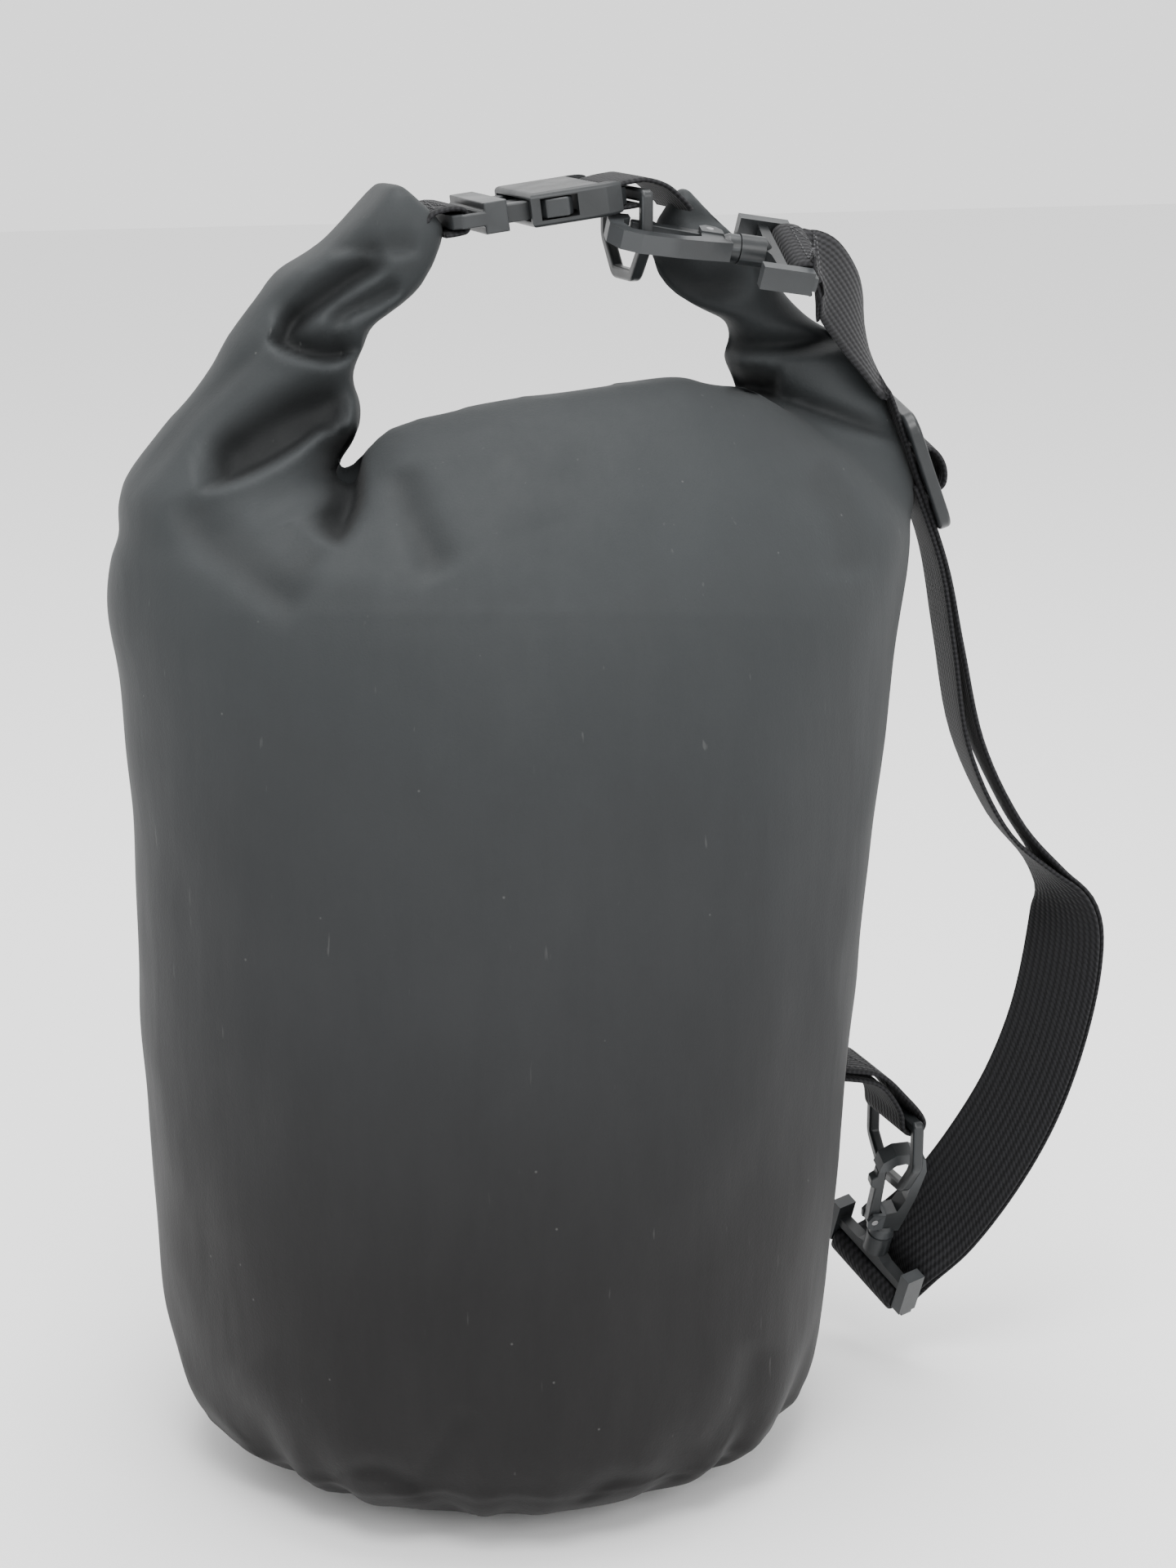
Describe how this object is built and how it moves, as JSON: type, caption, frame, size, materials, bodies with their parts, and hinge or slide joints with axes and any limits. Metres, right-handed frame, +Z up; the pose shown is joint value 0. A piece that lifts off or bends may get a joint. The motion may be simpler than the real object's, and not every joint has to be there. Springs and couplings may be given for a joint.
{
  "type": "roll-top storage bag",
  "caption": "Round-based roll-top fabric storage bag, its rolled mouth buckled into a carry loop, with a webbing shoulder strap clipped to D-rings at the top and at the side.",
  "frame": {"origin": "centre of the base, on the surface that the bag stands on", "axes": "+Z up; +X along the flattened mouth, towards the side with the shoulder strap; -Y the front"},
  "size_m": [0.3671, 0.2498, 0.4741],
  "materials": {
    "bag_fabric": "satin coated fabric, charcoal grey",
    "webbing": "ribbed woven webbing, black",
    "hardware_plastic": "moulded acetal, dark grey, satin",
    "stiffener_plastic": "matt",
    "gate_pin": "satin"
  },
  "bodies": {
    "bag": {"bag_tube": "bag_fabric", "base_disc": "bag_fabric", "mouth_roll": "bag_fabric", "mouth_stiffener": "stiffener_plastic", "buckle_web_left": "webbing", "buckle_web_right": "webbing", "buckle_male": "hardware_plastic", "buckle_female": "hardware_plastic", "ring_tab_webbing": "webbing", "ring_tab_patch": "bag_fabric"},
    "buckle_arm_front": {"buckle_arm_front": "hardware_plastic"},
    "buckle_arm_back": {"buckle_arm_back": "hardware_plastic"},
    "upper_ring": {"upper_d_ring": "hardware_plastic"},
    "lower_ring": {"lower_d_ring": "hardware_plastic"},
    "strap": {"strap_webbing": "webbing", "upper_hook_base": "hardware_plastic", "lower_hook_base": "hardware_plastic"},
    "upper_hook": {"upper_hook_body": "hardware_plastic", "upper_hook_gate_pin": "gate_pin"},
    "upper_gate": {"upper_hook_gate": "hardware_plastic"},
    "lower_hook": {"lower_hook_body": "hardware_plastic", "lower_hook_gate_pin": "gate_pin"},
    "lower_gate": {"lower_hook_gate": "hardware_plastic"},
    "slider": {"strap_slider": "hardware_plastic", "slider_web_hump": "webbing"}
  },
  "joints": [
    {"name": "buckle_arm_front_press", "type": "hinge", "parent": "bag", "child": "buckle_arm_front", "pos_m": [-0.0019, -0.014, 0.46298], "axis": [-0.127, 0, 0.9919], "range_deg": [0, 8], "stiffness_Nm_per_rad": 0.3},
    {"name": "buckle_arm_back_press", "type": "hinge", "parent": "bag", "child": "buckle_arm_back", "pos_m": [-0.0019, 0.014, 0.46298], "axis": [0.127, 0, -0.9919], "range_deg": [0, 8], "stiffness_Nm_per_rad": 0.3},
    {"name": "upper_ring_swing", "type": "hinge", "parent": "bag", "child": "upper_ring", "pos_m": [0.048, 0, 0.4685], "axis": [0, 1, 0], "range_deg": [-2, 10]},
    {"name": "lower_ring_swing", "type": "hinge", "parent": "bag", "child": "lower_ring", "pos_m": [0.1605, 0, 0.111], "axis": [0, 1, 0], "range_deg": [-5, 0]},
    {"name": "strap_swing", "type": "hinge", "parent": "bag", "child": "strap", "pos_m": [0.048, -0.0216, 0.455], "axis": [0.2883, 0.0554, -0.9559], "range_deg": [0, 6]},
    {"name": "upper_hook_swivel", "type": "hinge", "parent": "strap", "child": "upper_hook", "pos_m": [0.07985, -0.02602, 0.44984], "axis": [-0.9823, 0.109, 0.1521], "range_deg": [-4, 8]},
    {"name": "lower_hook_swivel", "type": "hinge", "parent": "strap", "child": "lower_hook", "pos_m": [0.16132, 0.01326, 0.05539], "axis": [0.016, -0.4472, 0.8943], "range_deg": [-6, 8]},
    {"name": "upper_gate_open", "type": "hinge", "parent": "upper_hook", "child": "upper_gate", "pos_m": [0.07189, -0.01931, 0.45278], "axis": [0.1166, -0.279, 0.9532], "range_deg": [0, 4], "stiffness_Nm_per_rad": 0.05},
    {"name": "lower_gate_open", "type": "hinge", "parent": "lower_hook", "child": "lower_gate", "pos_m": [0.15546, 0.00923, 0.06354], "axis": [0.008, 0.8945, 0.4471], "range_deg": [0, 4], "stiffness_Nm_per_rad": 0.05},
    {"name": "slider_slide", "type": "slide", "parent": "strap", "child": "slider", "axis": [0.355, 0, -0.9349], "range_m": [-0.012, 0.012]}
  ]
}
